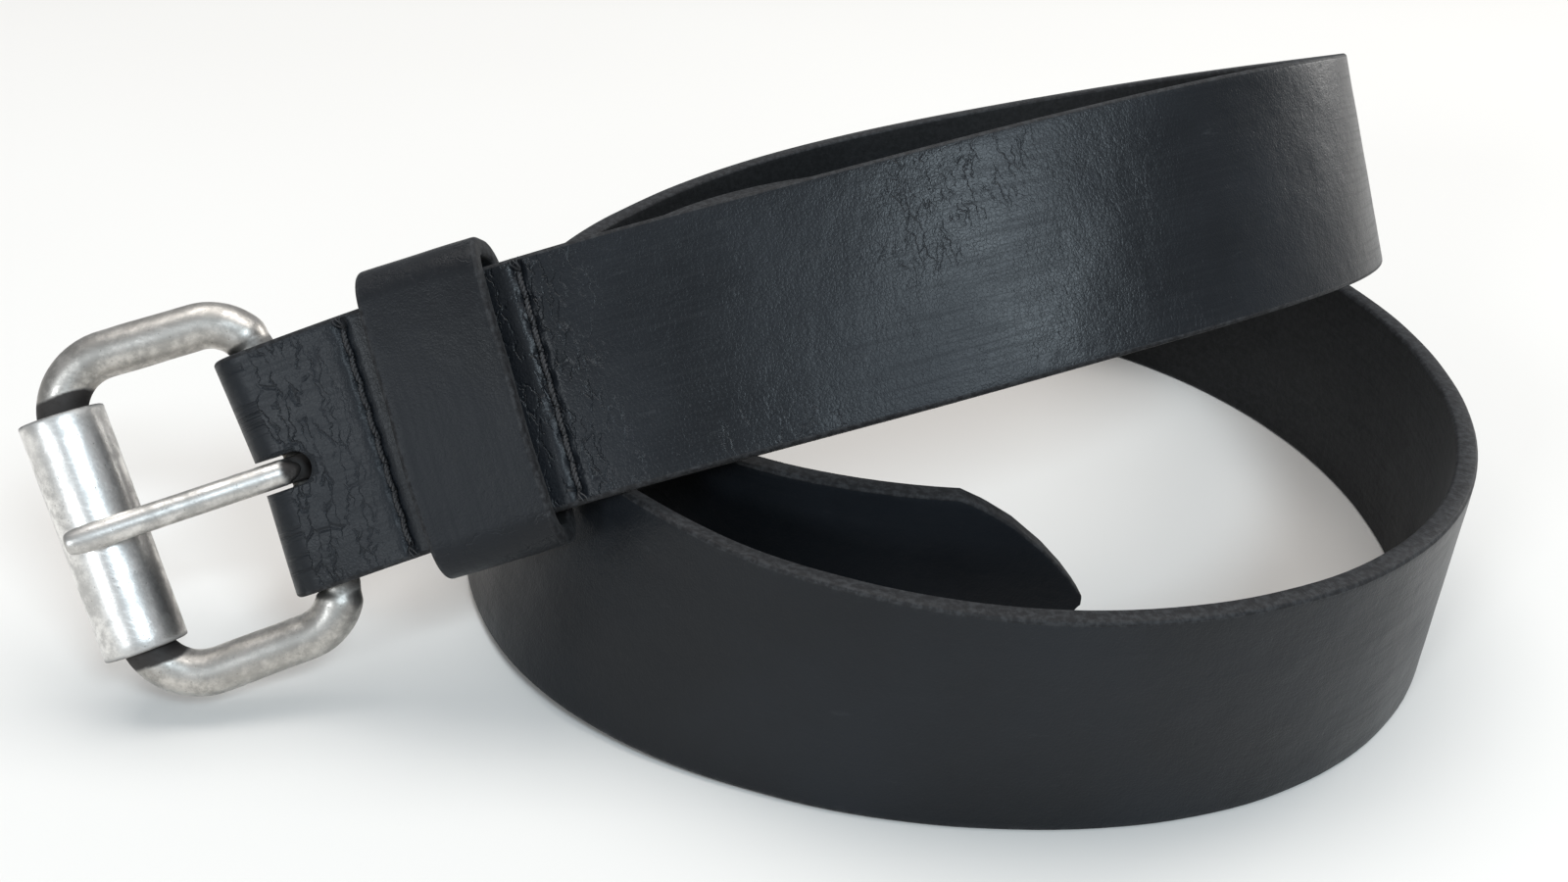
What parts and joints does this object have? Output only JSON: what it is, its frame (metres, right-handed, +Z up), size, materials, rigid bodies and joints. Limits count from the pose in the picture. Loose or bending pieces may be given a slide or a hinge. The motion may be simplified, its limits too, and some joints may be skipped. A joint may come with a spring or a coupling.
{
  "type": "leather belt",
  "caption": "Coiled leather belt standing on its edge, with a roller buckle held in a stitched fold and a sliding leather keeper",
  "frame": {"origin": "centre of the bounding box's base, on the surface the coiled belt stands on", "axes": "+X towards the right end of the coil, away from the buckle; +Y away from the viewer; +Z up"},
  "size_m": [0.2326, 0.1816, 0.0926],
  "materials": {
    "strap_leather": "waxed near-black bridle leather, softly creased",
    "keeper_leather": "waxed near-black leather with eased edges",
    "waxed_thread": "black waxed thread sunk in the leather",
    "frame_metal": "old nickel plating, mottled and scuffed",
    "roller_metal": "old nickel plating, scratched",
    "prong_metal": "old nickel plating, scuffed",
    "staple_steel": "plain steel wire"
  },
  "bodies": {
    "strap": {"strap": "strap_leather", "stitch_front_needle": "waxed_thread", "stitch_front_bobbin": "waxed_thread", "stitch_rear_needle": "waxed_thread", "stitch_rear_bobbin": "waxed_thread"},
    "keeper": {"keeper_band": "keeper_leather", "keeper_staple": "staple_steel"},
    "frame": {"buckle_frame": "frame_metal"},
    "roller": {"buckle_roller": "roller_metal"},
    "prong": {"buckle_prong": "prong_metal"}
  },
  "joints": [
    {"name": "frame_swing", "type": "hinge", "parent": "strap", "child": "frame", "pos_m": [-0.07585, -0.05703, 0.03458], "axis": [-0.3729, 0.3995, 0.8375], "range_deg": [-15, 10]},
    {"name": "prong_swing", "type": "hinge", "parent": "frame", "child": "prong", "pos_m": [-0.07585, -0.05703, 0.03458], "axis": [-0.3729, 0.3995, 0.8375], "range_deg": [0, 26]},
    {"name": "roller_spin", "type": "hinge", "parent": "frame", "child": "roller", "pos_m": [-0.10362, -0.06609, 0.02654], "axis": [-0.3729, 0.3995, 0.8375], "continuous": true},
    {"name": "keeper_slide", "type": "slide", "parent": "strap", "child": "keeper", "axis": [0.9353, 0.1003, 0.3393], "range_m": [-0.0035, 0.0008]}
  ]
}
